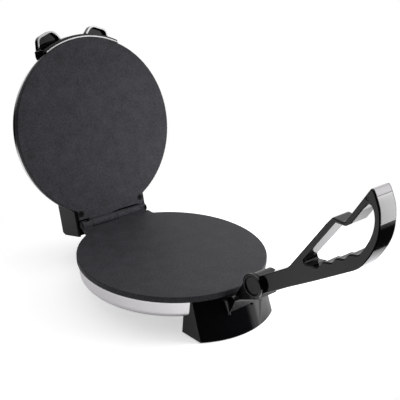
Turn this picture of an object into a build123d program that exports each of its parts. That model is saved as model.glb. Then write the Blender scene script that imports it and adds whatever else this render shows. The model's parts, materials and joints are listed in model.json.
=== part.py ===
from build123d import *
import os
from math import asin, cos, degrees, radians, sin

# Electric flatbread and pizza cooker: a round base plate on two feet, a lid on a rear
# hinge, and a press lever that folds from the front foot over the closed lid.
# Millimetres, +Z up, -Y to the front. The lid stands open and the lever lies out to the
# front, each on its stop. Sizes below are from the floor under the base plate's centre,
# and each finished piece is moved so that the origin is under the middle of the whole.

os.makedirs("parts", exist_ok=True)

plate_centre_y = 42.5

# Cooking plates
plate_top = 55.0
plate_radius = 127.0
plate_thickness = 8.0
plate_edge_round = 1.0
plate_gap = 4.4
tab_half_width = 57.0
tab_gap = 1.2
locating_ring_height = 3.0
locating_ring_width = 3.0
fit_gap = 0.3
running_gap = 0.05

# Hinge
hinge_reach = 6.4
hinge_distance = plate_radius + hinge_reach
barrel_radius = 6.0
knuckle_ends = (-56.0, -40.0, 3.0, 45.0, 56.0)
knuckle_gap = 0.6
hinge_pin_radius = 2.5
hinge_pin_end = 57.6
clip_radius = 4.5
clip_thickness = 1.2
lug_pocket_width = 9.0
lug_pocket_length = 5.0
lug_pocket_depth = 2.4
lid_open_angle = 105.6

# Steel pan under the base plate
sheet = 1.0
bowl_inset = 3.5
bowl_radius = plate_radius - bowl_inset
bowl_depth = 31.0
bowl_corner_round = 8.0
bowl_floor_width = 33.5
bowl_opening_radius = bowl_radius - bowl_floor_width
cover_overlap = 6.5
bottom_cover_radius = bowl_opening_radius + cover_overlap
cover_screw_edge = 3.2
cover_screw_circle = bottom_cover_radius - cover_screw_edge
vent_count = 12
vent_inset = 34.5
vent_circle = bottom_cover_radius - vent_inset
vent_length = 22.0
vent_width = 4.0

# Screws
small_screw_radius = 1.5
small_screw_length = 6.0
small_head_radius = 2.8
screw_radius = 2.0
screw_length = 20.0
short_screw_length = 11.0
head_radius = 3.5
head_height = 2.0
head_room = 0.5
slot_width = 1.0
slot_depth = 0.9
screw_boss_radius = 4.5

# Feet
foot_clearance = 1.0
foot_back_inset = 29.0
foot_back = plate_radius - foot_back_inset
foot_back_half_width = 62.8
foot_toe_half_width = 61.4
foot_toe_reach = 3.6
foot_toe = plate_radius + foot_toe_reach
foot_toe_bulge = 17.9
foot_toe_middle = foot_toe + foot_toe_bulge
foot_top_back_half_width = 60.4
foot_top_half_width = 59.9
foot_lean = 18.9
foot_top_toe = foot_toe - foot_lean
foot_top_bulge = 15.0
foot_top_middle = foot_top_toe + foot_top_bulge
foot_screw_x = 20.0
foot_screw_inset = 21.0
foot_screw_y = plate_radius - foot_screw_inset
foot_screw_seat = 14.0
pad_radius = 7.0
pad_thickness = 3.0
pad_x = 46.0
pad_inset = 11.0
pad_y = plate_radius - pad_inset

# Lever bracket on the front foot. Its reaches are measured forward from the pan's wall.
bracket_half_width = 20.0
bracket_wall = -bowl_radius
bracket_root = 5.5
bracket_back = bracket_wall + bracket_root
bracket_foot_reach = 0.7
bracket_foot = bracket_wall - bracket_foot_reach
bracket_foot_height = 44.4
bracket_crest_reach = 15.0
bracket_crest = bracket_wall - bracket_crest_reach
bracket_crest_height = 53.5
bracket_nose_reach = 21.4
bracket_nose = bracket_wall - bracket_nose_reach
bracket_nose_height = 50.4
bracket_chin_reach = 12.8
bracket_chin = bracket_wall - bracket_chin_reach
bracket_chin_height = 30.7
bracket_crest_round = 4.0
bracket_nose_round = 2.5
bracket_hollows = ((27.0, bracket_wall - 13.5, 2.5), (44.0, bracket_wall - 9.5, 9.0))
pivot_reach = 44.0
pivot_y = bracket_wall - pivot_reach
pivot_z = 79.6
pivot_pin_radius = 4.0
ear_gap = 0.4
ear_thickness = 3.6
ear_radius = 12.6
lip_length = 9.4
lip_front = pivot_y - lip_length
lip_bottom = 65.1
lip_reach = 2.0
web_reach = 28.5
web_top = bracket_wall - web_reach
web_top_height = 68.0
cap_radii = (15.0, 12.6)
cap_thickness = 3.0
cap_edge_round = 1.2
cap_ring_width = 3.2
cap_well_depth = 1.8
cap_groove_width = 1.0
cap_groove_depth = 0.6
stop_gap = 0.3

# Press lever. Its outline is in its own frame: along the arm from the pivot, then above it.
lever_slope = 34.6
lever_half_width = 11.0
lever_tip_half_width = 13.6
lever_edge_round = 1.5
hub_radius = 13.3
arm_rise = 8.2
arm_end = 50.0
grip_start = (91.0, -14.4)
grip_heel = (151.8, -15.1)
grip_bow = ((174.1, -9.2), (193.6, 2.8), (205.4, 15.8), (212.7, 28.8))
grip_top = (217.3, 50.0)
grip_tip = (216.8, 57.0)
latch_notch = (166.3, 33.8)
latch_corner = (154.2, 43.0)
strap_bend = (141.2, 38.9)
strap_foot = (62.0, 7.7)
opening_front = ((89.6, 6.0), (91.0, 11.6), (154.4, 36.7), (165.4, 29.8), (173.6, 30.2))
opening_back = ((194.5, 39.6), (206.4, 43.4), (207.3, 37.0))
opening_bow = ((203.6, 26.2), (194.8, 15.2), (184.0, 7.2))
opening_round = 2.5
wave_count = 4
wave_start = 99.2
wave_end = 175.1
wave_crest = 2.2
wave_trough = -0.6
bush_radius = 6.0
strip_shift = (-1.3, 0.3)
cap_shift = (-1.2, -1.7)
trim_half_width = 11.7
trim_side_gap = 0.1
trim_foot = 19.5
trim_split = 46.8
trim_split_gap = 0.4
trim_back = 203.0
tip_pin_radius = 1.8
tip_pin_half_length = 12.9
tip_pin_place = (206.2, 48.0)

# Lid cover
lid_cover_inset = 2.5
lid_cover_radius = plate_radius - lid_cover_inset
lid_cover_depth = 22.0
lid_cover_crown = 26.0
lid_cover_corner_round = 6.0
lid_cover_screw_inset = 24.5
lid_cover_screw_x = lid_cover_radius - lid_cover_screw_inset
lid_cover_screw_seat = 23.6
lid_boss_depth = 21.0

# Lid handle. Depths are measured behind the lid plate's cooking face, and reaches forward
# from the plate's rim.
handle_half_width = 62.0
handle_back_inset = 22.5
handle_back = plate_radius - handle_back_inset
handle_reach = 5.5
handle_front_radius = plate_radius + handle_reach
handle_start = 5.0
handle_depth = 31.0
handle_back_round = 6.0
press_pad_depth = 24.5
scoop_inner = 21.4
scoop_rim_depth = 23.5
scoop_wall = 2.6
scoop_floor = 2.5
scoop_shoulder_reach = 6.0
scoop_shoulder = plate_radius + scoop_shoulder_reach
scoop_peak_reach = 18.0
scoop_peak = (33.0, plate_radius + scoop_peak_reach)
scoop_corner_reach = 8.4
scoop_corner = (58.2, plate_radius + scoop_corner_reach)
scoop_outer_inset = 14.0
scoop_outer = (60.5, plate_radius - scoop_outer_inset)
scoop_root_inset = 11.0
scoop_root = (40.0, plate_radius - scoop_root_inset)
scoop_rounds = (9.0, 12.0, 10.0)
rim_width = 2.4
rim_thickness = 0.8
front_trim_half_width = 60.0
front_trim_gap = 0.6
front_trim_inner = plate_radius + front_trim_gap
front_trim_thickness = 1.8
front_trim_outer = front_trim_inner + front_trim_thickness
front_trim_start = 1.0
handle_screw_x = 36.0
handle_screw_inset = 18.0
handle_screw_y = plate_radius - handle_screw_inset
handle_screw_seat = 27.5

# Lid rear housing
housing_half_width = 61.0
housing_front_inset = 29.0
housing_front = plate_radius - housing_front_inset
housing_reach = 22.0
housing_end = plate_radius + housing_reach
housing_depth = 48.0
housing_corner_depth = 8.0
housing_corner_rise = 5.0
housing_edge_round = 3.0
cheek_thickness = 3.0
cheek_front = 1.0
cheek_gap = 0.5
cheek_bevel = 2.0
plate_screw_x = 52.0
plate_screw_inset = 9.5
plate_screw_y = plate_radius - plate_screw_inset
plate_screw_head_radius = 4.5
plate_screw_cone = 2.5

# Shelf on the rear foot, under the open lid's housing
shelf_half_width = 30.0
shelf_inset = 5.0
shelf_back = plate_radius - shelf_inset
shelf_back_height = 40.4
shelf_foot_height = 14.0
shelf_chin_reach = 9.0
shelf_chin = plate_radius + shelf_chin_reach
shelf_thickness = 12.0
shelf_start = 2.0
shelf_reach = 16.0

# Heating parts, alike in base and lid
element_ring = 78.0
element_tube_radius = 3.3
element_gap_angle = 40.0
element_leg = 18.0
element_bend = 6.0
element_pin_radius = 1.3
element_pin_length = 6.0
centre_boss_radius = 6.0
stud_radius = 2.5
stud_length = 7.0
clamp_length = 176.0
clamp_width = 14.0
clamp_thickness = 1.2
nut_flats = 8.0
nut_height = 4.0
thermostat_y = -40.0
thermostat_radius = 8.5
thermostat_height = 8.0
thermostat_ear_length = 26.0
thermostat_ear_width = 10.0
thermostat_ear_thickness = 1.2
spade_spacing = 7.0
spade_width = 5.0
spade_thickness = 0.8
spade_height = 4.0
fuse_y = 40.0
fuse_radius = 2.0
fuse_length = 12.0
fuse_lead_radius = 0.5
fuse_lead_length = 6.0

# Mains parts in the base
block_x = 38.0
block_inset = 28.5
block_y = bowl_radius - block_inset
block_length = 26.0
block_width = 14.0
block_height = 12.0
block_hole_radius = 2.0
block_hole_spacing = 8.0
block_hole_height = 6.0
lead_hole_inset = 17.0
lead_hole_y = plate_radius - lead_hole_inset
lead_hole_radius = 4.0
inlet_height = 14.0
inlet_reach = 11.0
inlet_seat = plate_radius + inlet_reach
inlet_length = 12.0
inlet_radius = 6.0
inlet_bore = 3.8
inlet_flange_radius = 8.0
inlet_flange = 2.5

# Frames of the two plates. In each, z points out of the cooking face and y points to the
# hinge, so a depth behind the face is a negative z.
open_turn = radians(lid_open_angle)
lid_back = Vector(0, sin(open_turn), cos(open_turn))
lid_front = Vector(0, -cos(open_turn), sin(open_turn))
hinge_rise = plate_gap / 2
hinge_point = Vector(0, hinge_distance, plate_top + hinge_rise)
lid_centre = hinge_point + lid_front * hinge_distance + lid_back * hinge_rise
base_face = Plane(origin=(0, 0, plate_top), x_dir=(1, 0, 0), z_dir=(0, 0, 1))
lid_face = Plane(origin=lid_centre, x_dir=(-1, 0, 0), z_dir=lid_back * -1)
plate_back = plate_thickness
tab_edge = hinge_distance - barrel_radius - tab_gap
element_back = plate_back + 2 * element_tube_radius
clamp_back = element_back + clamp_thickness

# Frame of the lever: x runs along the arm and y points to its upper side
lever_turn = radians(lever_slope)
lever_side = Plane(
    origin=(0, pivot_y, pivot_z),
    x_dir=(0, -cos(lever_turn), sin(lever_turn)),
    z_dir=(-1, 0, 0),
)
ear_inner = lever_half_width + ear_gap
ear_outer = ear_inner + ear_thickness


def lid_point(y, depth):
    """Y and Z of a point of the open lid, from its place in the lid's own frame."""
    point = lid_centre - lid_front * y + lid_back * depth
    return (point.Y, point.Z)


def lever_point(along, above):
    """Y and Z of a point of the lever, from its place in the lever's own frame."""
    point = lever_side.from_local_coords(Vector(along, above, 0))
    return (point.Y, point.Z)


def polar(radius, angle):
    """Point on a circle about the origin of a sketch."""
    return (radius * cos(radians(angle)), radius * sin(radians(angle)))


def section(face):
    """Plane through a plate's axis, with the radius along x and the depth along y."""
    return Plane(origin=face.origin, x_dir=face.x_dir, z_dir=face.y_dir)


def across(face, x):
    """Plane across a plate at x, with the plate's y along x and its z along y."""
    return Plane(origin=face.origin + face.x_dir * x, x_dir=face.y_dir, z_dir=face.x_dir)


def outward(face):
    """Axis along the normal of a plate's cooking face."""
    return Axis(face.origin, face.z_dir)


def write(builder, name):
    """Move a finished piece to the common origin, label it and write it."""
    piece = builder.part.moved(Location((0, plate_centre_y, 0)))
    piece.label = name
    export_step(piece, f"parts/{name}.step")


def knuckle_span(index):
    """Ends of one knuckle along x, with its side gaps taken off."""
    start = knuckle_ends[index]
    end = knuckle_ends[index + 1]
    if index > 0:
        start += knuckle_gap / 2
    if index < len(knuckle_ends) - 2:
        end -= knuckle_gap / 2
    return (start, end)


# Cooking plate of base or lid: disc, rear tab, locating ring, bosses, knuckles
def cast_plate(face, spans, pocket_x, boss_places, boss_depth):
    with BuildPart() as plate:
        with BuildSketch(face):
            Circle(plate_radius)
            with Locations((0, tab_edge / 2)):
                Rectangle(2 * tab_half_width, tab_edge)
        extrude(amount=-plate_thickness)
        fillet(plate.faces().filter_by(outward(face)).edges(), plate_edge_round)
        with BuildSketch(face.offset(-plate_back)):
            Circle(bowl_radius - sheet - fit_gap)
            Circle(bowl_radius - sheet - fit_gap - locating_ring_width, mode=Mode.SUBTRACT)
        extrude(amount=-locating_ring_height)
        with BuildSketch(face.offset(-plate_back)):
            Circle(centre_boss_radius)
        extrude(amount=plate_back - element_back)
        with BuildSketch(face.offset(-element_back)):
            Circle(stud_radius)
        extrude(amount=-stud_length)
        with BuildSketch(face.offset(-plate_back)):
            with Locations(*boss_places):
                Circle(screw_boss_radius)
        extrude(amount=plate_back - boss_depth)
        with BuildSketch(face.offset(-boss_depth)):
            with Locations(*boss_places):
                Circle(screw_radius + running_gap)
        extrude(amount=short_screw_length, mode=Mode.SUBTRACT)
        for start, end in spans:
            with BuildSketch(across(face, start)):
                with Locations((hinge_distance, hinge_rise)):
                    Circle(barrel_radius)
                Polygon(
                    (tab_edge - 1, 0),
                    (hinge_distance, 0),
                    (hinge_distance, hinge_rise - barrel_radius),
                    (tab_edge - 1, -plate_thickness),
                    align=None,
                )
                with Locations((hinge_distance, hinge_rise)):
                    Circle(hinge_pin_radius + running_gap, mode=Mode.SUBTRACT)
            extrude(amount=end - start)
        with BuildSketch(face.offset(hinge_rise + barrel_radius)):
            with Locations((pocket_x, hinge_distance)):
                Rectangle(lug_pocket_width, lug_pocket_length)
        extrude(amount=-lug_pocket_depth, mode=Mode.SUBTRACT)
    return plate


# Base plate
foot_screw_places = [(x, y) for x in (-foot_screw_x, foot_screw_x) for y in (-foot_screw_y, foot_screw_y)]
base_plate = cast_plate(
    base_face,
    [knuckle_span(0), knuckle_span(2)],
    sum(knuckle_ends[0:2]) / 2,
    foot_screw_places,
    bowl_depth - sheet,
)
write(base_plate, "base_plate")

# Lid plate, the same casting turned over, with the countersinks of the housing's screws
handle_screw_places = [(-handle_screw_x, -handle_screw_y), (handle_screw_x, -handle_screw_y)]
lid_cover_screw_places = [(-lid_cover_screw_x, 0), (lid_cover_screw_x, 0)]
plate_screw_places = [(-plate_screw_x, plate_screw_y), (plate_screw_x, plate_screw_y)]
lid_spans = [(-end, -start) for start, end in (knuckle_span(1), knuckle_span(3))]
lid_casting = cast_plate(
    lid_face,
    lid_spans,
    -sum(knuckle_ends[3:5]) / 2,
    handle_screw_places + lid_cover_screw_places,
    lid_boss_depth,
)
with BuildPart() as lid_plate:
    add(lid_casting.part)
    for place in plate_screw_places:
        with BuildSketch(lid_face):
            with Locations(place):
                Circle(screw_radius + running_gap)
        extrude(amount=-plate_thickness, mode=Mode.SUBTRACT)
        with BuildSketch(lid_face):
            with Locations(place):
                Circle(plate_screw_head_radius + running_gap)
        with BuildSketch(lid_face.offset(-plate_screw_cone)):
            with Locations(place):
                Circle(screw_radius + running_gap)
        loft(mode=Mode.SUBTRACT)
write(lid_plate, "lid_plate")


# Outer shape of the steel pan, also used to clear it from the feet
def pan_blank(gap):
    with BuildPart() as blank:
        with BuildSketch(section(base_face)) as profile:
            Polygon(
                (0, plate_back),
                (bowl_radius + gap, plate_back),
                (bowl_radius + gap, bowl_depth),
                (0, bowl_depth),
                align=None,
            )
            fillet(profile.vertices().group_by(Axis.X)[-1].sort_by(Axis.Y)[-1], bowl_corner_round)
        revolve(axis=outward(base_face))
    return blank.part


with BuildPart() as base_bowl:
    add(pan_blank(0))
    offset(amount=-sheet, openings=base_bowl.faces().sort_by(Axis.Z)[-1])
    with BuildSketch(base_face.offset(-bowl_depth)):
        Circle(bowl_opening_radius)
        with Locations(*foot_screw_places):
            Circle(screw_radius + fit_gap)
        with PolarLocations(cover_screw_circle, 4, start_angle=45):
            Circle(small_screw_radius + running_gap)
        with Locations((0, lead_hole_y)):
            Circle(lead_hole_radius)
    extrude(amount=2 * sheet, mode=Mode.SUBTRACT)
write(base_bowl, "base_bowl")

# Bottom cover with radial vents
with BuildPart() as base_bottom_cover:
    with BuildSketch(base_face.offset(-bowl_depth)):
        Circle(bottom_cover_radius)
        with PolarLocations(vent_circle, vent_count, start_angle=15):
            SlotOverall(vent_length, vent_width, mode=Mode.SUBTRACT)
        with PolarLocations(cover_screw_circle, 4, start_angle=45):
            Circle(small_screw_radius + running_gap, mode=Mode.SUBTRACT)
    extrude(amount=-sheet)
write(base_bottom_cover, "base_bottom_cover")


# Pan-head screws on a plane that faces their heads, at the given places
def pan_head_screws(plane, places, radius, length, head):
    with BuildPart() as screws:
        with BuildSketch(plane):
            with Locations(*places):
                Circle(head)
        extrude(amount=head_height)
        with BuildSketch(plane.offset(head_height)):
            with Locations(*places):
                Rectangle(1.4 * head, slot_width)
                Rectangle(slot_width, 1.4 * head)
        extrude(amount=-slot_depth, mode=Mode.SUBTRACT)
        with BuildSketch(plane):
            with Locations(*places):
                Circle(radius)
        extrude(amount=-length)
    return screws


# Screws of the bottom cover
bottom_plane = Plane(origin=(0, 0, plate_top - bowl_depth - sheet), x_dir=(1, 0, 0), z_dir=(0, 0, -1))
cover_screw_places = [polar(cover_screw_circle, 45 + 90 * turn) for turn in range(4)]
base_cover_screws = pan_head_screws(
    bottom_plane, cover_screw_places, small_screw_radius, small_screw_length, small_head_radius
)
write(base_cover_screws, "base_cover_screws")

# Screws that hold the feet and the pan to the base plate
foot_screw_plane = Plane(origin=(0, 0, foot_screw_seat), x_dir=(1, 0, 0), z_dir=(0, 0, -1))
foot_screws = pan_head_screws(
    foot_screw_plane, foot_screw_places, screw_radius, screw_length, head_radius
)
write(foot_screws, "foot_screws")


# Foot: lofted block under the rim, with recesses for two pads and two screws
def foot_blank(way):
    with BuildPart() as blank:
        with BuildSketch(Plane.XY.offset(foot_clearance)):
            with BuildLine():
                ThreePointArc(
                    (-foot_toe_half_width, way * foot_toe),
                    (0, way * foot_toe_middle),
                    (foot_toe_half_width, way * foot_toe),
                )
                Polyline(
                    (foot_toe_half_width, way * foot_toe),
                    (foot_back_half_width, way * foot_back),
                    (-foot_back_half_width, way * foot_back),
                    (-foot_toe_half_width, way * foot_toe),
                )
            make_face()
        with BuildSketch(Plane.XY.offset(plate_top - plate_thickness)):
            with BuildLine():
                ThreePointArc(
                    (-foot_top_half_width, way * foot_top_toe),
                    (0, way * foot_top_middle),
                    (foot_top_half_width, way * foot_top_toe),
                )
                Polyline(
                    (foot_top_half_width, way * foot_top_toe),
                    (foot_top_back_half_width, way * foot_back),
                    (-foot_top_back_half_width, way * foot_back),
                    (-foot_top_half_width, way * foot_top_toe),
                )
            make_face()
        loft(ruled=True)
        with BuildSketch(Plane.XY):
            with Locations((-pad_x, way * pad_y), (pad_x, way * pad_y)):
                Circle(pad_radius + running_gap)
        extrude(amount=pad_thickness, mode=Mode.SUBTRACT)
        with BuildSketch(Plane.XY):
            with Locations((-foot_screw_x, way * foot_screw_y), (foot_screw_x, way * foot_screw_y)):
                Circle(head_radius + head_room)
        extrude(amount=foot_screw_seat, mode=Mode.SUBTRACT)
        with BuildSketch(Plane.XY):
            with Locations((-foot_screw_x, way * foot_screw_y), (foot_screw_x, way * foot_screw_y)):
                Circle(screw_radius + running_gap)
        extrude(amount=plate_top, mode=Mode.SUBTRACT)
    return blank.part


# Front foot with the lever bracket: cheeked block, two ears, and the lip the arm rests on
with BuildPart() as front_foot:
    add(foot_blank(-1))
    with BuildSketch(Plane.YZ):
        with BuildLine():
            FilletPolyline(
                (bracket_back, bracket_foot_height - 4),
                (bracket_foot, bracket_foot_height),
                (bracket_crest, bracket_crest_height),
                (bracket_nose, bracket_nose_height),
                (bracket_chin, bracket_chin_height),
                (bracket_back, bracket_chin_height - 4),
                radius=(0, bracket_crest_round, bracket_nose_round, 0),
            )
            Line((bracket_back, bracket_chin_height - 4), (bracket_back, bracket_foot_height - 4))
        make_face()
    extrude(amount=bracket_half_width, both=True)
    for way in (-1, 1):
        for height, front, hollow in bracket_hollows:
            with BuildSketch(Plane.XY.offset(height)):
                with BuildLine():
                    corner = bracket_half_width + hollow * (1 - cos(radians(45)))
                    side = Line(
                        (way * bracket_half_width, front),
                        (way * (bracket_half_width - 1), front),
                    )
                    back = Line(side @ 1, (way * (bracket_half_width - 1), front + hollow))
                    Line(back @ 1, (way * (bracket_half_width + hollow), front + hollow))
                    ThreePointArc(
                        (way * (bracket_half_width + hollow), front + hollow),
                        (way * corner, front + hollow * sin(radians(45))),
                        (way * bracket_half_width, front),
                    )
                make_face()
        loft()
    for start in (-ear_outer, ear_inner):
        with BuildSketch(Plane.YZ.offset(start)) as ear:
            with Locations((pivot_y, pivot_z)):
                Circle(ear_radius)
            Polygon(
                (bracket_crest, bracket_crest_height),
                (bracket_nose, bracket_nose_height),
                (lip_front, lip_bottom),
                align=None,
            )
            make_hull(ear.edges())
        extrude(amount=ear_thickness)
    with BuildSketch(Plane.YZ):
        Polygon(
            (bracket_crest, bracket_crest_height),
            (bracket_nose, bracket_nose_height),
            (lip_front, lip_bottom),
            lever_point(lip_reach, -hub_radius - stop_gap),
            lever_point(0, -hub_radius - stop_gap),
            (pivot_y, pivot_z),
            (web_top, web_top_height),
            align=None,
        )
        with Locations((pivot_y, pivot_z)):
            Circle(hub_radius + stop_gap, mode=Mode.SUBTRACT)
    extrude(amount=ear_inner, both=True)
    with BuildSketch(Plane.YZ):
        with Locations((pivot_y, pivot_z)):
            Circle(pivot_pin_radius)
    extrude(amount=ear_outer, both=True, mode=Mode.SUBTRACT)
    add(pan_blank(fit_gap), mode=Mode.SUBTRACT)
write(front_foot, "front_foot")

# Rear foot with the shelf for the open lid and the way in for the cord
with BuildPart() as rear_foot:
    add(foot_blank(1))
    with BuildSketch(Plane.YZ):
        Polygon(
            (shelf_back, shelf_foot_height),
            (shelf_back, shelf_back_height),
            lid_point(housing_end + stop_gap, shelf_start),
            lid_point(housing_end + stop_gap, shelf_reach),
            lid_point(housing_end + stop_gap + shelf_thickness, shelf_reach),
            (shelf_chin, shelf_foot_height),
            align=None,
        )
    extrude(amount=shelf_half_width, both=True)
    with BuildSketch(Plane.XZ.offset(-inlet_seat)):
        with Locations((0, inlet_height)):
            Circle(inlet_flange_radius + fit_gap)
    extrude(amount=-inlet_seat, mode=Mode.SUBTRACT)
    with BuildSketch(Plane.XZ.offset(-inlet_seat)):
        with Locations((0, inlet_height)):
            Circle(inlet_radius + running_gap)
    extrude(amount=inlet_length, mode=Mode.SUBTRACT)
    with BuildSketch(Plane.XZ.offset(-inlet_seat)):
        with Locations((0, inlet_height)):
            Circle(lead_hole_radius)
    extrude(amount=inlet_seat - lead_hole_y, mode=Mode.SUBTRACT)
    with BuildSketch(Plane.XY.offset(inlet_height)):
        with Locations((0, lead_hole_y)):
            Circle(lead_hole_radius)
    extrude(amount=plate_top, mode=Mode.SUBTRACT)
    add(pan_blank(fit_gap), mode=Mode.SUBTRACT)
write(rear_foot, "rear_foot")

# Rubber pads under the feet
with BuildPart() as foot_pads:
    with BuildSketch(Plane.XY):
        with GridLocations(2 * pad_x, 2 * pad_y, 2, 2):
            Circle(pad_radius)
    extrude(amount=pad_thickness)
write(foot_pads, "foot_pads")

# Cord bush in the rear foot
with BuildPart() as cord_inlet:
    with BuildSketch(Plane.XZ.offset(-inlet_seat)):
        with Locations((0, inlet_height)):
            Circle(inlet_radius)
    extrude(amount=inlet_length)
    with BuildSketch(Plane.XZ.offset(-inlet_seat)):
        with Locations((0, inlet_height)):
            Circle(inlet_flange_radius)
    extrude(amount=-inlet_flange)
    with BuildSketch(Plane.XZ.offset(-inlet_seat)):
        with Locations((0, inlet_height)):
            Circle(inlet_bore)
    extrude(amount=inlet_length, both=True, mode=Mode.SUBTRACT)
write(cord_inlet, "cord_inlet")

# Hinge pin, long enough for a push-on clip at each end
with BuildPart() as hinge_pin:
    with BuildSketch(across(base_face, 0)):
        with Locations((hinge_distance, hinge_rise)):
            Circle(hinge_pin_radius)
    extrude(amount=hinge_pin_end, both=True)
write(hinge_pin, "hinge_pin")

with BuildPart() as hinge_pin_clips:
    for start in (knuckle_ends[0] - clip_thickness, knuckle_ends[-1]):
        with BuildSketch(across(base_face, start)):
            with Locations((hinge_distance, hinge_rise)):
                Circle(clip_radius)
                Circle(hinge_pin_radius, mode=Mode.SUBTRACT)
        extrude(amount=clip_thickness)
write(hinge_pin_clips, "hinge_pin_clips")


# Tubular element: a ring with two legs turned in, and a cold pin on each leg
def heating_element(face):
    gap_start = 90 + element_gap_angle / 2
    gap_end = 90 - element_gap_angle / 2
    with BuildPart() as element:
        with BuildLine(face.offset(-plate_back - element_tube_radius)) as path:
            CenterArc((0, 0), element_ring, gap_start, 360 - element_gap_angle)
            Line(polar(element_ring, gap_start), polar(element_ring - element_leg, gap_start))
            Line(polar(element_ring, gap_end), polar(element_ring - element_leg, gap_end))
            fillet(path.vertices().sort_by_distance(face.origin)[-2:], element_bend)
        route = path.wires()[0]
        with BuildSketch(Plane(origin=route @ 0, z_dir=route % 0)):
            Circle(element_tube_radius)
        sweep(path=route)
        with BuildSketch(Plane(origin=route @ 0, z_dir=(route % 0) * -1)):
            Circle(element_pin_radius)
        extrude(amount=element_pin_length)
        with BuildSketch(Plane(origin=route @ 1, z_dir=route % 1)):
            Circle(element_pin_radius)
        extrude(amount=element_pin_length)
    return element


# Sheet clamp that holds the element to the plate
def element_clamp(face):
    with BuildPart() as clamp:
        with BuildSketch(face.offset(-element_back)):
            SlotOverall(clamp_length, clamp_width)
            Circle(stud_radius + running_gap, mode=Mode.SUBTRACT)
        extrude(amount=-clamp_thickness)
    return clamp


def clamp_nut(face):
    with BuildPart() as nut:
        with BuildSketch(face.offset(-clamp_back)):
            RegularPolygon(nut_flats / 2, 6, major_radius=False)
            Circle(stud_radius + running_gap, mode=Mode.SUBTRACT)
        extrude(amount=-nut_height)
    return nut


# Disc thermostat with a mounting strap and two spade terminals
def thermostat(face):
    with BuildPart() as body:
        with BuildSketch(face.offset(-plate_back)):
            with Locations((0, thermostat_y)):
                Circle(thermostat_radius)
        extrude(amount=-thermostat_height)
        with BuildSketch(face.offset(-plate_back)):
            with Locations((0, thermostat_y)):
                SlotOverall(thermostat_ear_length, thermostat_ear_width)
        extrude(amount=-thermostat_ear_thickness)
        with BuildSketch(face.offset(-plate_back - thermostat_height)):
            with Locations((-spade_spacing / 2, thermostat_y), (spade_spacing / 2, thermostat_y)):
                Rectangle(spade_thickness, spade_width)
        extrude(amount=-spade_height)
    return body


write(heating_element(base_face), "base_heating_element")
write(element_clamp(base_face), "base_element_clamp")
write(clamp_nut(base_face), "base_clamp_nut")
write(thermostat(base_face), "base_thermostat")
write(heating_element(lid_face), "lid_heating_element")
write(element_clamp(lid_face), "lid_element_clamp")
write(clamp_nut(lid_face), "lid_clamp_nut")
write(thermostat(lid_face), "lid_thermostat")

# Thermal fuse lying on the base plate's back, with its two leads
with BuildPart() as thermal_fuse:
    with BuildSketch(across(base_face, 0)):
        with Locations((fuse_y, -plate_back - fuse_radius)):
            Circle(fuse_radius)
    extrude(amount=fuse_length / 2, both=True)
    with BuildSketch(across(base_face, 0)):
        with Locations((fuse_y, -plate_back - fuse_radius)):
            Circle(fuse_lead_radius)
    extrude(amount=fuse_length / 2 + fuse_lead_length, both=True)
write(thermal_fuse, "thermal_fuse")

# Terminal block on the pan's floor
with BuildPart() as terminal_block:
    with BuildSketch(base_face.offset(sheet - bowl_depth)):
        with Locations((block_x, block_y)):
            Rectangle(block_length, block_width)
    extrude(amount=block_height)
    with BuildSketch(Plane.XZ.offset(-block_y)):
        with Locations((block_x, plate_top - bowl_depth + sheet + block_hole_height)):
            with GridLocations(block_hole_spacing, 1, 3, 1):
                Circle(block_hole_radius)
    extrude(amount=block_width, both=True, mode=Mode.SUBTRACT)
write(terminal_block, "terminal_block")


# Side outline of the lever: straight arm, bow of the grip, tip, latch notch, strap
with BuildSketch() as lever_outline:
    with BuildLine():
        Polyline((0, arm_rise), (0, -hub_radius), (arm_end, -hub_radius), grip_start, grip_heel)
        Spline(grip_heel, *grip_bow, grip_top, tangents=[(1, 0), (0.1, 1)])
        FilletPolyline(
            grip_top,
            grip_tip,
            latch_notch,
            latch_corner,
            strap_bend,
            strap_foot,
            (0, arm_rise),
            radius=(2.5, 5, 4, 20, 20),
        )
    make_face()


# Band along the outline's bow or tip, between two heights, as thick as the given shift
def bow_band(low, high, shift):
    with BuildSketch(lever_side) as band:
        add(lever_outline.sketch)
        with Locations(shift):
            add(lever_outline.sketch, mode=Mode.SUBTRACT)
        with Locations((trim_back, low)):
            Rectangle(30, high - low, align=(Align.MIN, Align.MIN), mode=Mode.INTERSECT)
    return band.sketch


bow_top = grip_tip[1] + 3
wave_step = (wave_end - wave_start) / (2 * wave_count)
wave_points = [
    (wave_end - wave_step * index, wave_trough if index % 2 else wave_crest)
    for index in range(2 * wave_count + 1)
]

flare_back = -2 * hub_radius
flare_end = grip_top[0] + hub_radius
flare = (lever_tip_half_width - lever_half_width) / grip_top[0]
flare_ends = (lever_half_width + flare * flare_back, lever_half_width + flare * flare_end)

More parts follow.
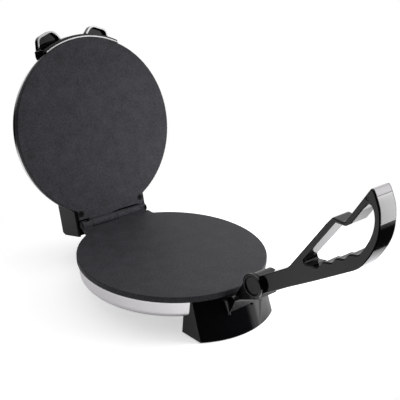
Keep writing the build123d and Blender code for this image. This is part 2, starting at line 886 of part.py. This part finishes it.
with BuildPart() as lever_body:
    with BuildSketch(lever_side):
        add(lever_outline.sketch)
        Circle(hub_radius)
    extrude(amount=2 * lever_half_width, both=True)
    with BuildSketch(Plane(origin=lever_side.origin, x_dir=lever_side.x_dir, z_dir=lever_side.y_dir)):
        Polygon(
            (flare_back, -flare_ends[0]),
            (flare_end, -flare_ends[1]),
            (flare_end, flare_ends[1]),
            (flare_back, flare_ends[0]),
            align=None,
        )
    extrude(amount=grip_top[0], both=True, mode=Mode.INTERSECT)
    with BuildSketch(lever_side):
        with BuildLine():
            Spline(*opening_bow[::-1], opening_back[-1])
            FilletPolyline(
                wave_points[-1],
                *opening_front,
                *opening_back,
                radius=(opening_round, opening_round, 3, 4, 6, 20, 3),
            )
            Spline(opening_bow[-1], *wave_points)
        make_face()
    extrude(amount=2 * lever_half_width, both=True, mode=Mode.SUBTRACT)
    sides = lever_body.faces().sort_by(Axis.X)
    fillet(sides[0].edges() + sides[-1].edges(), lever_edge_round)
    with BuildSketch(lever_side):
        Circle(bush_radius + running_gap)
    extrude(amount=2 * lever_half_width, both=True, mode=Mode.SUBTRACT)
    recess = trim_half_width + trim_side_gap
    extrude(bow_band(trim_foot, trim_split, strip_shift), amount=recess, both=True, mode=Mode.SUBTRACT)
    extrude(bow_band(trim_split, bow_top, cap_shift), amount=recess, both=True, mode=Mode.SUBTRACT)
    with BuildSketch(lever_side):
        with Locations(tip_pin_place):
            Circle(tip_pin_radius + running_gap)
    extrude(amount=2 * lever_half_width, both=True, mode=Mode.SUBTRACT)
write(lever_body, "lever_body")

# Bright strip on the grip's bow, then the cap over the tip
with BuildPart() as lever_trim:
    strip = bow_band(trim_foot, trim_split - trim_split_gap, strip_shift)
    extrude(strip, amount=trim_half_width, both=True)
write(lever_trim, "lever_trim")

with BuildPart() as lever_tip_cap:
    extrude(bow_band(trim_split, bow_top, cap_shift), amount=trim_half_width, both=True)
write(lever_tip_cap, "lever_tip_cap")

with BuildPart() as lever_tip_pin:
    with BuildSketch(lever_side):
        with Locations(tip_pin_place):
            Circle(tip_pin_radius)
    extrude(amount=tip_pin_half_length, both=True)
write(lever_tip_pin, "lever_tip_pin")

# Steel bush in the lever's hub, and the pin it turns on
with BuildPart() as lever_bush:
    with BuildSketch(lever_side):
        Circle(bush_radius)
        Circle(pivot_pin_radius + running_gap, mode=Mode.SUBTRACT)
    extrude(amount=lever_half_width, both=True)
write(lever_bush, "lever_bush")

with BuildPart() as lever_pivot_pin:
    with BuildSketch(lever_side):
        Circle(pivot_pin_radius)
    extrude(amount=ear_outer, both=True)
write(lever_pivot_pin, "lever_pivot_pin")

# Stepped caps over the pin's ends, the large one on the left
with BuildPart() as pivot_caps:
    for way, radius in zip((1, -1), cap_radii):
        with BuildSketch(lever_side.offset(way * ear_outer)):
            Circle(radius)
        extrude(amount=way * cap_thickness)
        outer_face = pivot_caps.faces().sort_by(Axis.X)[0 if way > 0 else -1]
        fillet(outer_face.edges(), cap_edge_round)
        with BuildSketch(lever_side.offset(way * (ear_outer + cap_thickness))):
            Circle(radius - cap_ring_width)
        extrude(amount=-way * cap_well_depth, mode=Mode.SUBTRACT)
        with BuildSketch(lever_side.offset(way * (ear_outer + cap_thickness - cap_well_depth))):
            Circle(radius - cap_ring_width)
            Circle(radius - cap_ring_width - cap_groove_width, mode=Mode.SUBTRACT)
        extrude(amount=-way * cap_groove_depth, mode=Mode.SUBTRACT)
write(pivot_caps, "pivot_caps")


# Outer shape of the lid's steel cover, also used to clear it from handle and housing
def cover_blank(gap):
    radius = lid_cover_radius + gap
    edge_depth = lid_cover_depth + gap
    crown_depth = lid_cover_crown + gap
    corner_round = lid_cover_corner_round + gap
    rise = crown_depth - edge_depth
    dome_radius = (radius**2 + rise**2) / (2 * rise)
    dome_turn = degrees(asin(radius / dome_radius))
    with BuildPart() as blank:
        with BuildSketch(section(lid_face)) as profile:
            with BuildLine():
                Polyline((0, crown_depth), (0, plate_back), (radius, plate_back), (radius, edge_depth))
                CenterArc((0, crown_depth - dome_radius), dome_radius, 90 - dome_turn, dome_turn)
            make_face()
            fillet(profile.vertices().group_by(Axis.X)[-1].sort_by(Axis.Y)[-1], corner_round)
        revolve(axis=outward(lid_face))
    return blank.part


with BuildPart() as lid_cover:
    add(cover_blank(0))
    add(cover_blank(-sheet), mode=Mode.SUBTRACT)
    with BuildSketch(lid_face.offset(-lid_cover_crown)):
        with Locations(*handle_screw_places, *lid_cover_screw_places):
            Circle(screw_radius + running_gap)
    extrude(amount=lid_cover_crown - plate_back, mode=Mode.SUBTRACT)
write(lid_cover, "lid_cover")


# Plane behind the lid that faces away from the plate, at a depth
def behind(depth):
    return Plane(
        origin=lid_face.origin - lid_face.z_dir * depth,
        x_dir=lid_face.x_dir * -1,
        z_dir=lid_face.z_dir * -1,
    )


handle_screws = pan_head_screws(
    behind(handle_screw_seat), [(-x, y) for x, y in handle_screw_places],
    screw_radius, handle_screw_seat - lid_boss_depth + short_screw_length - 1, head_radius,
)
write(handle_screws, "lid_handle_screws")

cover_screws = pan_head_screws(
    behind(lid_cover_screw_seat), lid_cover_screw_places,
    screw_radius, lid_cover_screw_seat - lid_boss_depth + short_screw_length - 1, head_radius,
)
write(cover_screws, "cover_screws")


# Outline of the finger scoops on the lid's front
with BuildSketch() as scoop_outlines:
    for way in (-1, 1):
        with BuildLine() as outline:
            FilletPolyline(
                (way * scoop_inner, -scoop_root[1] - 4),
                (way * scoop_inner, -scoop_shoulder),
                (way * scoop_peak[0], -scoop_peak[1]),
                (way * scoop_corner[0], -scoop_corner[1]),
                (way * scoop_outer[0], -scoop_outer[1]),
                (way * scoop_root[0], -scoop_root[1]),
                radius=(0, *scoop_rounds, 0, 0),
                close=True,
            )
        make_face()

# Front handle: a grip along the rim, a low pad for the lever, and two finger scoops
with BuildPart() as lid_handle:
    with BuildSketch(lid_face.offset(-handle_start)):
        Circle(handle_front_radius)
        with Locations((0, -handle_back)):
            Rectangle(
                2 * handle_half_width,
                plate_radius,
                align=(Align.CENTER, Align.MAX),
                mode=Mode.INTERSECT,
            )
    extrude(amount=handle_start - handle_depth)
    back_edge = lid_handle.edges().filter_by(Axis.X).sort_by(Axis.Z)
    fillet(back_edge.sort_by(outward(lid_face))[0], handle_back_round)
    with BuildSketch(lid_face.offset(-scoop_rim_depth)):
        add(scoop_outlines.sketch)
    extrude(amount=scoop_rim_depth - handle_depth)
    with BuildSketch(lid_face.offset(-press_pad_depth)):
        with Locations((0, -handle_back)):
            Rectangle(2 * scoop_inner, 2 * plate_radius)
    extrude(amount=-handle_depth, mode=Mode.SUBTRACT)
    with BuildSketch(lid_face.offset(-scoop_rim_depth)):
        add(scoop_outlines.sketch)
        offset(amount=-scoop_wall)
        Circle(handle_front_radius, mode=Mode.SUBTRACT)
    extrude(amount=scoop_rim_depth + scoop_floor - handle_depth, mode=Mode.SUBTRACT)
    with BuildSketch(lid_face):
        Circle(front_trim_outer + fit_gap)
    extrude(amount=-plate_back, mode=Mode.SUBTRACT)
    with BuildSketch(lid_face.offset(-handle_screw_seat)):
        with Locations(*handle_screw_places):
            Circle(head_radius + head_room)
    extrude(amount=-handle_depth, mode=Mode.SUBTRACT)
    with BuildSketch(lid_face):
        with Locations(*handle_screw_places):
            Circle(screw_radius + running_gap)
    extrude(amount=-handle_depth, mode=Mode.SUBTRACT)
    add(cover_blank(fit_gap), mode=Mode.SUBTRACT)
write(lid_handle, "lid_handle")

# Bright rims of the scoops
with BuildPart() as handle_rims:
    with BuildSketch(lid_face.offset(-scoop_rim_depth)):
        add(scoop_outlines.sketch)
        offset(amount=-rim_width, mode=Mode.SUBTRACT)
        Circle(handle_front_radius + fit_gap, mode=Mode.SUBTRACT)
    extrude(amount=rim_thickness)
write(handle_rims, "handle_rims")

# Bright strip along the lid's front edge, seated on the handle
with BuildPart() as lid_front_trim:
    with BuildSketch(lid_face.offset(-front_trim_start)):
        Circle(front_trim_outer)
        Circle(front_trim_inner, mode=Mode.SUBTRACT)
        with Locations((0, -handle_back)):
            Rectangle(
                2 * front_trim_half_width,
                plate_radius,
                align=(Align.CENTER, Align.MAX),
                mode=Mode.INTERSECT,
            )
    extrude(amount=front_trim_start - plate_back)
write(lid_front_trim, "lid_front_trim")

# Rear housing behind the hinge, with a cheek on each side of the knuckles
with BuildPart() as lid_rear_housing:
    with BuildSketch(across(lid_face, 0)):
        Polygon(
            (housing_front, -plate_back),
            (housing_end, -plate_back),
            (housing_end, housing_corner_depth - housing_depth),
            (housing_end - housing_corner_rise, -housing_depth),
            (housing_front, -housing_depth),
            align=None,
        )
    extrude(amount=housing_half_width, both=True)
    rear_face = lid_rear_housing.faces().sort_by(outward(lid_face))[0]
    fillet(rear_face.edges(), housing_edge_round)
    with BuildSketch(lid_face.offset(-cheek_front)):
        for way in (-1, 1):
            with Locations((way * (housing_half_width - cheek_thickness / 2), housing_end)):
                Rectangle(cheek_thickness, housing_end - housing_front, align=(Align.CENTER, Align.MAX))
        Circle(plate_radius + cheek_gap, mode=Mode.SUBTRACT)
    extrude(amount=cheek_front - plate_back)
    for way in (-1, 1):
        cheek_faces = lid_rear_housing.faces().filter_by(outward(lid_face)).group_by(outward(lid_face))[-1]
        long_edges = cheek_faces.edges().filter_by(Axis(lid_face.origin, lid_face.y_dir)).sort_by(Axis.X)
        chamfer(long_edges[0 if way < 0 else -1], cheek_bevel)
    with BuildSketch(lid_face):
        with Locations(*plate_screw_places):
            Circle(screw_radius + running_gap)
    extrude(amount=-screw_length - 1, mode=Mode.SUBTRACT)
    add(cover_blank(fit_gap), mode=Mode.SUBTRACT)
write(lid_rear_housing, "lid_rear_housing")

# Countersunk screws through the lid plate into the housing
with BuildPart() as lid_plate_screws:
    for place in plate_screw_places:
        with BuildSketch(lid_face):
            with Locations(place):
                Circle(plate_screw_head_radius)
        with BuildSketch(lid_face.offset(-plate_screw_cone)):
            with Locations(place):
                Circle(screw_radius)
        loft()
    with BuildSketch(lid_face):
        with Locations(*plate_screw_places):
            Circle(screw_radius)
    extrude(amount=-screw_length)
    with BuildSketch(lid_face):
        with Locations(*plate_screw_places):
            Rectangle(plate_screw_head_radius, slot_width)
            Rectangle(slot_width, plate_screw_head_radius)
    extrude(amount=-slot_depth, mode=Mode.SUBTRACT)
write(lid_plate_screws, "lid_plate_screws")
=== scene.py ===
import bmesh
import bpy
from math import cos, pi, radians, sin
from mathutils import Matrix, Vector
import json


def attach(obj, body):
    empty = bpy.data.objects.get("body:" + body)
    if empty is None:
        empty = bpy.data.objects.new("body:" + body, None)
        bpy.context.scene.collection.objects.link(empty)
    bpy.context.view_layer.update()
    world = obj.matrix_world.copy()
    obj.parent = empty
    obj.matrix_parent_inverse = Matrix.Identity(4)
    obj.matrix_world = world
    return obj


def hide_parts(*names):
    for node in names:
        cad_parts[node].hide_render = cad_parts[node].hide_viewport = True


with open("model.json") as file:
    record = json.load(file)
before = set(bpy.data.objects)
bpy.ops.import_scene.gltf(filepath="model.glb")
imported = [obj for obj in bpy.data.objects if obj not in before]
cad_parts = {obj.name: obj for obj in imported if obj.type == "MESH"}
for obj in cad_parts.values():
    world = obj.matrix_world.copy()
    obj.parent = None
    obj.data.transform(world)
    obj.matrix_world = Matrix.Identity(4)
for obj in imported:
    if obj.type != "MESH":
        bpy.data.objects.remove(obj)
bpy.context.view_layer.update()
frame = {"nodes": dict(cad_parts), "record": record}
nodes = frame["nodes"]

# Camera: the photograph's place, turn and framing, worked out from the round plates, the feet
# and the lever. The object sits left of and above the optical axis, hence the small shift.
image_side = 400
camera_focal_pixels = 786.61
camera_centre_pixel = (172.57, 171.97)
camera_turn = radians(-39.702)
camera_rise = radians(20.849)
camera_roll = radians(0.921)
camera_place = Vector((-0.6058, -0.6862, 0.5275))
camera_near = 0.01
camera_level = Vector((cos(camera_turn), sin(camera_turn), 0))
camera_away = Vector((sin(camera_turn), -cos(camera_turn), 0))
camera_back = camera_away * cos(camera_rise) + Vector((0, 0, sin(camera_rise)))
camera_up = camera_back.cross(camera_level)
camera_right = camera_level * cos(camera_roll) + camera_up * sin(camera_roll)
camera_up = camera_up * cos(camera_roll) - camera_level * sin(camera_roll)

camera_data = bpy.data.cameras.new("camera")
camera_data.sensor_width = 36
camera_data.lens = camera_focal_pixels * camera_data.sensor_width / image_side
camera_data.shift_x = 0.5 - camera_centre_pixel[0] / image_side
camera_data.shift_y = camera_centre_pixel[1] / image_side - 0.5
camera_data.clip_start = camera_near
camera = bpy.data.objects.new("camera", camera_data)
camera.matrix_world = Matrix(
    [[camera_right[i], camera_up[i], camera_back[i], camera_place[i]] for i in range(3)] + [[0, 0, 0, 1]]
)
bpy.context.scene.collection.objects.link(camera)
bpy.context.scene.camera = camera
bpy.context.scene.view_settings.view_transform = "Standard"


# Studio: white paper under the cooker, and a room that metal and gloss mirror, made in the world
# by direction. It is bright behind and to the right and dark behind the camera. A softbox hangs
# high at the camera's right hand, and a brighter one stands further to the right.
class Wire:
    """One socket of a node tree. Sums written on it add Math nodes."""

    def __init__(self, finish, socket):
        self.finish = finish
        self.socket = socket

    def math(self, operation, *values):
        return self.finish.node("ShaderNodeMath", {"operation": operation}, *values)

    def __add__(self, other):
        return self.math("ADD", self, other)

    def __radd__(self, other):
        return self.math("ADD", other, self)

    def __sub__(self, other):
        return self.math("SUBTRACT", self, other)

    def __rsub__(self, other):
        return self.math("SUBTRACT", other, self)

    def __mul__(self, other):
        return self.math("MULTIPLY", self, other)

    def __rmul__(self, other):
        return self.math("MULTIPLY", other, self)

    def larger(self, other):
        return self.math("MAXIMUM", self, other)

    def rises(self, low, high):
        """0 below the low value, 1 above the high one, and smooth between them."""
        settings = {"interpolation_type": "SMOOTHSTEP"}
        return self.finish.node("ShaderNodeMapRange", settings, self, low, high)


class Finish:
    """The node tree of a material or of the world, with what is needed to write it."""

    def __init__(self, owner):
        owner.use_nodes = True
        self.owner = owner
        self.tree = owner.node_tree

    def feed(self, socket, value):
        if isinstance(value, Wire):
            self.tree.links.new(value.socket, socket)
        else:
            socket.default_value = value

    def node(self, kind, settings=None, *places, sockets=None, output=0):
        """A new node: its settings first, then its sockets, by their order or by their names."""
        made = self.tree.nodes.new(kind)
        for key, value in (settings or {}).items():
            if key == "stops":
                for element, (position, colour) in zip(made.color_ramp.elements, value):
                    element.position = position
                    element.color = colour
            else:
                setattr(made, key, value)
        for index, value in enumerate(places):
            self.feed(made.inputs[index], value)
        for key, value in (sockets or {}).items():
            self.feed(made.inputs[key], value)
        return Wire(self, made.outputs[output])

    def split(self, vector):
        """The three numbers of a vector."""
        made = self.tree.nodes.new("ShaderNodeSeparateXYZ")
        self.feed(made.inputs[0], vector)
        return [Wire(self, output) for output in made.outputs]

    def place(self):
        """The piece's own coordinates, in metres."""
        object_coordinates = 3
        return self.node("ShaderNodeTexCoord", output=object_coordinates)

    def noise(self, place, scale, detail):
        sockets = {"Vector": place, "Scale": scale, "Detail": detail}
        return self.node("ShaderNodeTexNoise", None, sockets=sockets)

    def shades(self, amount, colour, darkest, lightest, start, end):
        """A colour that goes from its darkest to its lightest shade as an amount rises."""
        ends = ((start, darkest), (end, lightest))
        stops = [(at, (*[c * shade for c in colour], 1)) for at, shade in ends]
        return self.node("ShaderNodeValToRGB", {"stops": stops}, amount)

    def relief(self, height, strength, depth, edge):
        """A normal with a fine relief on it, whose sharp edges are rounded by a radius in metres."""
        soft_edge = self.node("ShaderNodeBevel", {"samples": 6}, edge)
        sockets = {"Height": height, "Strength": strength, "Distance": depth, "Normal": soft_edge}
        return self.node("ShaderNodeBump", None, sockets=sockets)

    def shader(self, sockets, kind="Principled BSDF"):
        """Feeds the tree's own shader."""
        made = self.tree.nodes[kind]
        for key, value in sockets.items():
            self.feed(made.inputs[key], value)
        return Wire(self, made.outputs[0])


dark_level = 0.015
day_level = 0.85
softbox_level = 1.25
side_light_level = 2.05
table_edge = (-0.42, -0.34)
corner_side, corner_top = (-0.35, -0.05), (0.3, 0.6)
back_wall_edge = (-0.5, -0.3)
right_wall_edge = (0.7, 0.8)
softbox_side, softbox_back = (0.44, 0.54), (-0.5, -0.4)
softbox_foot, softbox_top = (0.21, 0.26), (0.6, 0.7)
side_light_side, side_light_back, side_light_top = (0.8, 0.88), (-0.1, 0.1), (0.3, 0.5)
world = bpy.data.worlds.new("studio")
bpy.context.scene.world = world
room = Finish(world)
across, deep, up = room.split(room.node("ShaderNodeTexCoord"))
above_table = up.rises(*table_edge)
dark_corner = (1 - across.rises(*corner_side)) * (1 - up.rises(*corner_top))
back_wall = deep.rises(*back_wall_edge) * (1 - dark_corner)
right_wall = across.rises(*right_wall_edge)
softbox_height = up.rises(*softbox_foot) * (1 - up.rises(*softbox_top))
softbox = across.rises(*softbox_side) * softbox_height * (1 - deep.rises(*softbox_back))
side_light_shape = (1 - deep.rises(*side_light_back)) * (1 - up.rises(*side_light_top))
side_light = across.rises(*side_light_side) * side_light_shape
walls = day_level * back_wall.larger(right_wall)
lamps = (softbox_level * softbox).larger(side_light_level * side_light)
room_light = dark_level + walls.larger(lamps) * above_table
seen = room.node("ShaderNodeLightPath")
room.shader({"Color": (1, 1, 1, 1), "Strength": room_light * (1 - seen) + seen}, "Background")

# Paper: a white sheet whose front edge lies just in front of the lever's tip, outside the
# camera's picture. Away from the cooker it fades to an even white, which camera, metal and glass
# all see, but for a dark corner at the far left that the gloss mirrors.
paper_reach = 6.0
paper_front = -0.295
fade_distance = (0.27, 0.38)
corner_distance, corner_across = (0.5, 0.8), (-0.3, 0.1)
paper_glow = 0.5
paper_glow_mirrored = 0.15
floor_mesh = bpy.data.meshes.new("floor")
floor_mesh.from_pydata(
    [
        (-paper_reach, paper_front, 0),
        (paper_reach, paper_front, 0),
        (paper_reach, paper_reach, 0),
        (-paper_reach, paper_reach, 0),
    ],
    [],
    [(0, 1, 2, 3)],
)
floor = bpy.data.objects.new("floor", floor_mesh)
bpy.context.scene.collection.objects.link(floor)
paper = Finish(bpy.data.materials.new("floor_paper"))
floor_place = paper.place()
from_middle = paper.node("ShaderNodeVectorMath", {"operation": "LENGTH"}, floor_place, output=1)
ray_kinds = paper.tree.nodes.new("ShaderNodeLightPath").outputs
camera_ray, glossy_ray, clear_ray = [
    Wire(paper, ray_kinds[name]) for name in ("Is Camera Ray", "Is Glossy Ray", "Is Transmission Ray")
]
paper_surface = paper.shader(
    {
        "Base Color": (0.8, 0.8, 0.81, 1),
        "Roughness": 0.9,
        "Specular IOR Level": 0.0,
        "Emission Color": (1, 1, 1, 1),
        "Emission Strength": paper_glow * camera_ray + paper_glow_mirrored * glossy_ray,
    }
)
fade = from_middle.rises(*fade_distance) * camera_ray.larger(glossy_ray).larger(clear_ray)
floor_across = paper.split(floor_place)[0]
floor_corner = from_middle.rises(*corner_distance) * (1 - floor_across.rises(*corner_across))
mirrored_white = day_level * (1 - camera_ray) * (1 - floor_corner)
even_white = paper.node("ShaderNodeEmission", None, (1, 1, 1, 1), mirrored_white + camera_ray)
faded = paper.node("ShaderNodeMixShader", None, fade, paper_surface, even_white)
paper.feed(paper.tree.nodes["Material Output"].inputs["Surface"], faded)
floor_mesh.materials.append(paper.owner)


# Lamps: a wide one overhead, and a small one at the right that lifts the dark plates and makes
# the lid lighter towards its right edge.
def soft_light(name, place, side, brightness, mirrored):
    """A square area lamp that points at the cooker. Its power follows from its size and brightness."""
    target = Vector((0, 0, 0.12))
    data = bpy.data.lights.new(name, "AREA")
    data.shape = "SQUARE"
    data.size = side
    data.energy = pi * side**2 * brightness
    lamp = bpy.data.objects.new(name, data)
    lamp.location = place
    lamp.rotation_euler = (target - Vector(place)).to_track_quat("-Z", "Y").to_euler()
    lamp.visible_camera = False
    lamp.visible_glossy = mirrored
    bpy.context.scene.collection.objects.link(lamp)


soft_light("overhead_light", (0.2, 0.3, 1.6), side=1.8, brightness=0.3, mirrored=True)
soft_light("fill_light", (0.45, -0.3, 0.18), side=0.4, brightness=11.5, mirrored=False)


# Cooking plates: two alike aluminium castings, turned flat on the cooking face and sprayed with
# a dark grey non-stick coating, which leaves a fine grain. The hinge knuckles are cast in one
# with each plate.
def dress(material, *names):
    """Gives one finish to CAD nodes."""
    for name in names:
        for slot in nodes[name].material_slots:
            slot.material = material


coating_colour = (0.03, 0.029, 0.034)
mottle_share, grain_share = 0.35, 0.65
coating = Finish(bpy.data.materials.new("nonstick_coating"))
coating_place = coating.place()
mottle = coating.noise(coating_place, scale=60.0, detail=5.0)
grain = coating.noise(coating_place, scale=420.0, detail=3.0)
speckle = mottle * mottle_share + grain * grain_share
coating_tone = coating.shades(speckle, coating_colour, darkest=0.6, lightest=1.4, start=0.35, end=0.65)
coating.shader(
    {
        "Base Color": coating_tone,
        "Roughness": 0.5 + mottle * 0.1,
        "Specular IOR Level": 0.25,
        "Normal": coating.relief(grain, strength=0.35, depth=0.0002, edge=0.0006),
    }
)
dress(coating.owner, "base_plate", "lid_plate")


# Heating elements: a steel tube bent to an open ring, filled and sealed, that lies on the back
# of each plate. Heat has turned it dull and brown in patches. A pressed bar and a nut on the
# plate's stud hold it down.
def metal(name, colour, roughness, smear, darkest=0.94):
    """Bare or plated metal: clouds in its colour and roughness, and a very fine surface grain."""
    finish = Finish(bpy.data.materials.new(name))
    place = finish.place()
    cloud = finish.noise(place, scale=25.0, detail=4.0)
    surface = finish.noise(place, scale=900.0, detail=2.0)
    finish.shader(
        {
            "Base Color": finish.shades(cloud, colour, darkest, lightest=1.0, start=0.2, end=0.8),
            "Metallic": 1.0,
            "Roughness": roughness + cloud * smear,
            "Normal": finish.relief(surface, strength=0.08, depth=0.0001, edge=0.0003),
        }
    )
    return finish.owner


sheath_steel = metal("heated_sheath_steel", (0.42, 0.38, 0.34), roughness=0.4, smear=0.3, darkest=0.6)
dress(sheath_steel, "base_heating_element", "lid_heating_element")
clamp_steel = metal("pressed_clamp_steel", (0.58, 0.57, 0.55), roughness=0.32, smear=0.2, darkest=0.85)
dress(clamp_steel, "base_element_clamp", "lid_element_clamp", "base_clamp_nut", "lid_clamp_nut")


# Thermostats, fuse and terminal block: bought-in parts behind the plates. The thermostats and
# the block are pressed from a brown-black heat-proof resin, and the fuse is a tinned can.
def moulding(name, colour, roughness, ripple, gloss=0.5):
    """Moulded plastic or rubber: slow ripples from the mould, and fine dust in its colour."""
    finish = Finish(bpy.data.materials.new(name))
    place = finish.place()
    flow = finish.noise(place, scale=90.0, detail=3.0)
    dust = finish.noise(place, scale=700.0, detail=4.0)
    finish.shader(
        {
            "Base Color": finish.shades(dust, colour, darkest=1.0, lightest=1.4, start=0.3, end=0.8),
            "Roughness": roughness + dust * 0.05,
            "Specular IOR Level": gloss,
            "Normal": finish.relief(flow, ripple, depth=0.0002, edge=0.0009),
        }
    )
    return finish.owner


resin = moulding("heatproof_resin", (0.05, 0.045, 0.04), roughness=0.45, ripple=0.2)
dress(resin, "base_thermostat", "lid_thermostat", "terminal_block")
tinned_can = metal("tinned_can", (0.66, 0.66, 0.64), roughness=0.28, smear=0.12)
dress(tinned_can, "thermal_fuse")

# Steel pan: stainless sheet, deep drawn to a shallow bowl that takes the plate's rim. It is spun
# against a polishing wheel, which leaves fine rings round the bowl's axis.
bowl_axis = Vector((0, 0.0425, 0))
hinge_joint = frame["record"]["behaviour"]["joints"][0]
hinge_place = Vector(hinge_joint["pos_m"])
sheet_colour = (0.78, 0.757, 0.775)


def polished_sheet(name, turn):
    """Polished steel with rings round the bowl's axis, once the piece has turned about the hinge pin."""
    finish = Finish(bpy.data.materials.new(name))
    place = finish.place()
    shift = hinge_place - Matrix.Rotation(turn, 3, "X") @ hinge_place - bowl_axis
    turned = finish.node("ShaderNodeMapping", None, place, tuple(shift), (turn, 0, 0))
    sheet_x, sheet_y, sheet_z = finish.split(turned)
    squares = sheet_x * sheet_x + sheet_y * sheet_y
    radius = squares.math("POWER", squares, 0.5)
    ring_place = finish.node("ShaderNodeCombineXYZ", None, radius, 0.0, sheet_z)
    rings = finish.noise(ring_place, scale=1100.0, detail=2.0)
    smears = finish.noise(place, scale=25.0, detail=4.0)
    finish.shader(
        {
            "Base Color": finish.shades(smears, sheet_colour, darkest=0.94, lightest=1.0, start=0.2, end=0.8),
            "Metallic": 1.0,
            "Roughness": 0.14 + smears * 0.1 + rings * 0.05,
            "Normal": finish.relief(rings, strength=0.1, depth=0.0001, edge=0.0003),
        }
    )
    return finish.owner


pan_sheet = polished_sheet("pan_sheet", turn=0.0)
dress(pan_sheet, "base_bowl")

# Bottom cover: a disc of zinc-plated sheet with vents, pressed flat, that closes the pan from
# below. Zinc-plated screws hold it, and others hold the feet.
cover_zinc = metal("zinc_plated_sheet", (0.6, 0.6, 0.61), roughness=0.32, smear=0.15, darkest=0.86)
dress(cover_zinc, "base_bottom_cover")
screw_zinc = metal("zinc_plated_screws", (0.62, 0.62, 0.63), roughness=0.28, smear=0.12, darkest=0.9)
dress(screw_zinc, "base_cover_screws", "foot_screws")

# Feet: two mouldings in glossy black plastic, screwed up against the pan. The front one carries
# the lever's bracket with its two cheeks, and the rear one the shelf that the open lid rests on.
black_plastic = moulding("glossy_black_plastic", (0.002, 0.002, 0.0024), roughness=0.06, ripple=0.05)
dress(black_plastic, "front_foot", "rear_foot")

# Foot pads and cord inlet: soft black rubber, dull and slightly uneven. The pads sit in round
# seats under the feet, and the inlet is a plain flanged bush in the wall of the rear foot.
rubber = moulding("rubber", (0.03, 0.03, 0.03), roughness=0.7, ripple=0.4)
dress(rubber, "foot_pads", "cord_inlet")

# Hinge pin, its clips and the screws through the lid plate: steel with a black oxide finish. The
# pin runs through the knuckles of both plates, and a clip pushed on each end keeps it in.
blackened_steel = metal("blackened_steel", (0.05, 0.049, 0.052), roughness=0.32, smear=0.15)
dress(blackened_steel, "hinge_pin", "hinge_pin_clips", "lid_plate_screws")

# Lid cover: drawn and polished like the pan, with a low crown, and held by two screws. The lid
# stands open, so its rings are reckoned as if it lay closed over the base. The crown is meshed
# with its corners joined, so that the polish runs evenly over the middle.
lid_open_angle = radians(hinge_joint["range_deg"][1])
corner_gap = 1e-6
crease_angle = radians(30)
cover_sheet = polished_sheet("cover_sheet", turn=lid_open_angle)
dress(cover_sheet, "lid_cover")
shell_work = bmesh.new()
shell_work.from_mesh(nodes["lid_cover"].data)
bmesh.ops.remove_doubles(shell_work, verts=shell_work.verts, dist=corner_gap)
shell_mesh = bpy.data.meshes.new("lid_cover_shell")
shell_work.to_mesh(shell_mesh)
shell_work.free()
shell_mesh.attributes.remove(shell_mesh.attributes["custom_normal"])
shell_mesh.shade_smooth()
shell_mesh.set_sharp_from_angle(angle=crease_angle)
shell_mesh.materials.append(cover_sheet)
shell = bpy.data.objects.new("lid_cover_shell", shell_mesh)
bpy.context.scene.collection.objects.link(shell)
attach(shell, "lid")
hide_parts("lid_cover")
dress(screw_zinc, "cover_screws")

# Lid handle: a glossy black moulding like the feet, with two finger scoops and a gap for the
# lever. Two screws from behind hold it to the lid's front edge.
dress(black_plastic, "lid_handle")
dress(screw_zinc, "lid_handle_screws")

# Handle trim: thin strips of plated plastic, clipped on. They are the rims of the two scoops and
# the strip along the lid's front edge.
plating = metal("bright_plating", (0.82, 0.81, 0.82), roughness=0.1, smear=0.06)
dress(plating, "handle_rims", "lid_front_trim")

# Rear housing: a plain moulding behind the hinge that covers the lid's wiring. It is black
# plastic too, left satin.
satin_plastic = moulding("satin_black_plastic", (0.003, 0.003, 0.0034), roughness=0.2, ripple=0.1, gloss=0.14)
dress(satin_plastic, "lid_rear_housing")

# Lever pivot: a bush and a cross pin, both turned from steel rod. The pin passes through the
# bracket's cheeks and the lever's hub, and glossy black caps cover its ends.
turned_rod = metal("turned_rod", (0.6, 0.6, 0.61), roughness=0.24, smear=0.1)
dress(turned_rod, "lever_bush", "lever_pivot_pin")
dress(black_plastic, "pivot_caps")

# Lever: one glossy black moulding from hub to grip. A plated strip is let into its outer bow,
# and a plated cap, a little rougher, covers the tip and is held by a pin. The cap's colour is
# darker than the strip's plating: painted shade that dims the reflection in it.
dress(black_plastic, "lever_body", "lever_tip_pin")
dress(plating, "lever_trim")
# The cap's plating is a darker copy of the strip's: its lower colour is painted shade that dims the
# reflection in it.
satin_and_shaded_cap_plating = metal("satin_plating_with_painted_shade", (0.62, 0.61, 0.63), roughness=0.14, smear=0.1, darkest=0.9)
dress(satin_and_shaded_cap_plating, "lever_tip_cap")
